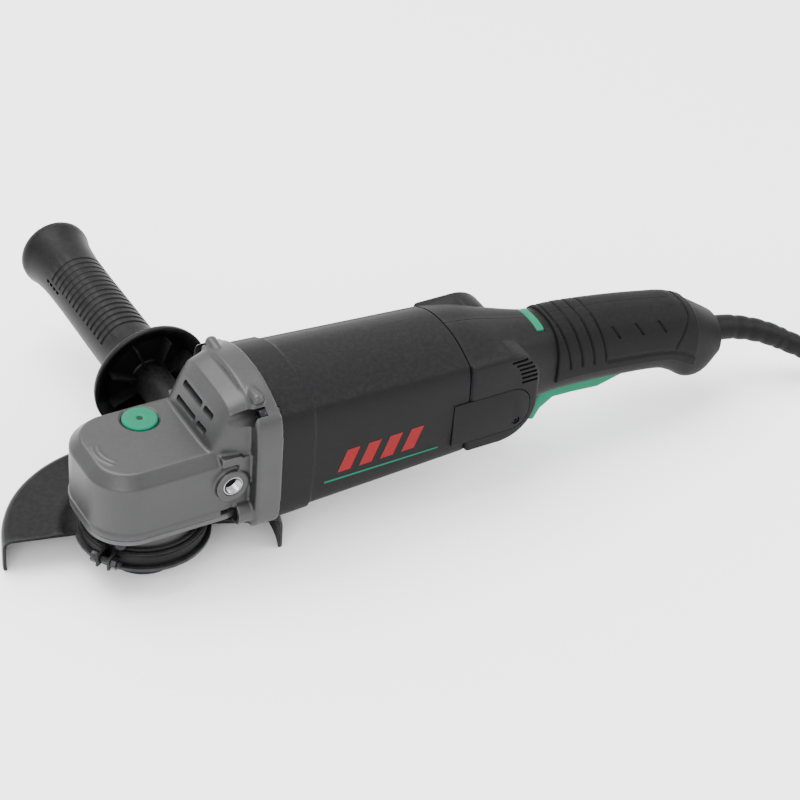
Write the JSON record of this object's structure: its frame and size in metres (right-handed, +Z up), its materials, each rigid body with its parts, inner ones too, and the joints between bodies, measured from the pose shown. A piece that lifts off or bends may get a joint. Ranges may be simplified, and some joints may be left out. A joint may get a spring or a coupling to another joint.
{
  "type": "angle grinder",
  "caption": "Corded angle grinder with a cast gear head, half-round wheel guard, side handle, long motor housing and a drooping rear handle with a paddle trigger.",
  "frame": {"origin": "centre of the spindle's free end face, level with the guard's rim and the surface that the tool stands on", "axes": "+X backwards along the motor from the spindle to the cord, +Y to the side with the side handle, +Z up the spindle away from the wheel"},
  "size_m": [0.6823, 0.2904, 0.1135],
  "materials": {
    "painted_casting": "gunmetal paint on die-cast aluminium",
    "dark_nylon": "fine-textured glass-filled nylon",
    "soft_pad": "soft moulded elastomer",
    "green_button": "smooth moulded plastic",
    "green_lever": "smooth moulded plastic",
    "black_steel": "black coated pressed steel",
    "bright_steel": "ground and turned steel",
    "dark_steel": "oiled dark steel",
    "copper": "enamelled and bare copper",
    "brass": "bright pressed brass",
    "carbon": "pressed carbon",
    "grip_plastic": "black moulded grip plastic",
    "cord_rubber": "black rubber jacket"
  },
  "bodies": {
    "casing": {"gear_housing": "painted_casting", "bearing_cover": "painted_casting", "cover_screw_1": "dark_steel", "cover_screw_2": "dark_steel", "cover_screw_3": "dark_steel", "cover_screw_4": "dark_steel", "spindle_bearing": "bright_steel", "spindle_bush": "brass", "lock_spring": "bright_steel", "motor_housing": "dark_nylon", "housing_screw_1": "dark_steel", "housing_screw_2": "dark_steel", "housing_screw_3": "dark_steel", "housing_screw_4": "dark_steel", "stator_core": "dark_steel", "field_coil_top": "copper", "field_coil_bottom": "copper", "front_bearing": "bright_steel", "rear_bearing": "bright_steel", "bearing_bracket": "dark_nylon", "air_baffle": "dark_nylon", "brush_holder_left": "brass", "brush_holder_right": "brass", "carbon_brush_left": "carbon", "carbon_brush_right": "carbon", "brush_cover_left": "dark_nylon", "brush_cover_right": "dark_nylon", "handle_shell_left": "dark_nylon", "handle_shell_right": "dark_nylon", "soft_grip_left": "soft_pad", "soft_grip_right": "soft_pad", "trigger_pin": "bright_steel", "switch_module": "grip_plastic", "side_handle": "grip_plastic", "side_handle_stud": "bright_steel", "cable_sleeve": "cord_rubber", "power_cord": "cord_rubber", "cord_coil": "cord_rubber", "plug_body": "cord_rubber", "plug_pin_1": "brass", "plug_pin_2": "brass"},
    "rotor": {"rotor_shaft": "bright_steel", "pinion_gear": "dark_steel", "armature_core": "dark_steel", "armature_winding_front": "copper", "armature_winding_rear": "copper", "commutator": "copper", "fan": "dark_nylon"},
    "spindle_set": {"spindle": "bright_steel", "crown_gear": "dark_steel", "inner_flange": "dark_steel", "lock_nut": "black_steel"},
    "spindle_lock": {"spindle_lock_button": "green_button", "lock_pin": "bright_steel"},
    "guard_set": {"guard": "black_steel", "guard_clamp_band": "black_steel", "clamp_screw": "bright_steel", "clamp_nut": "bright_steel"},
    "trigger_lever": {"trigger": "green_lever"},
    "lock_on": {"lock_on_button": "green_lever"}
  },
  "joints": [
    {"name": "rotor_spin", "type": "hinge", "parent": "casing", "child": "rotor", "pos_m": [0.1, 0, 0.07], "axis": [1, 0, 0], "continuous": true},
    {"name": "spindle_spin", "type": "hinge", "parent": "casing", "child": "spindle_set", "pos_m": [0, 0, 0.03], "axis": [0, 0, 1], "continuous": true},
    {"name": "spindle_lock_press", "type": "slide", "parent": "casing", "child": "spindle_lock", "axis": [0, 0, -1], "range_m": [0, 0.0035], "stiffness_N_per_m": 600, "springref_m": -0.003},
    {"name": "guard_turn", "type": "hinge", "parent": "casing", "child": "guard_set", "pos_m": [0, 0, 0.02], "axis": [0, 0, 1], "range_deg": [-90, 90]},
    {"name": "trigger_squeeze", "type": "hinge", "parent": "casing", "child": "trigger_lever", "pos_m": [0.3158, 0, 0.0445], "axis": [0, 1, 0], "range_deg": [0, 6], "stiffness_Nm_per_rad": 0.8, "springref_deg": -8.59},
    {"name": "lock_on_press", "type": "slide", "parent": "casing", "child": "lock_on", "axis": [0, 0, -1], "range_m": [0, 0.0025], "stiffness_N_per_m": 600, "springref_m": -0.003}
  ],
  "couplings": [
    {"joint": "spindle_spin", "follows": "rotor_spin", "ratio": 0.25}
  ]
}
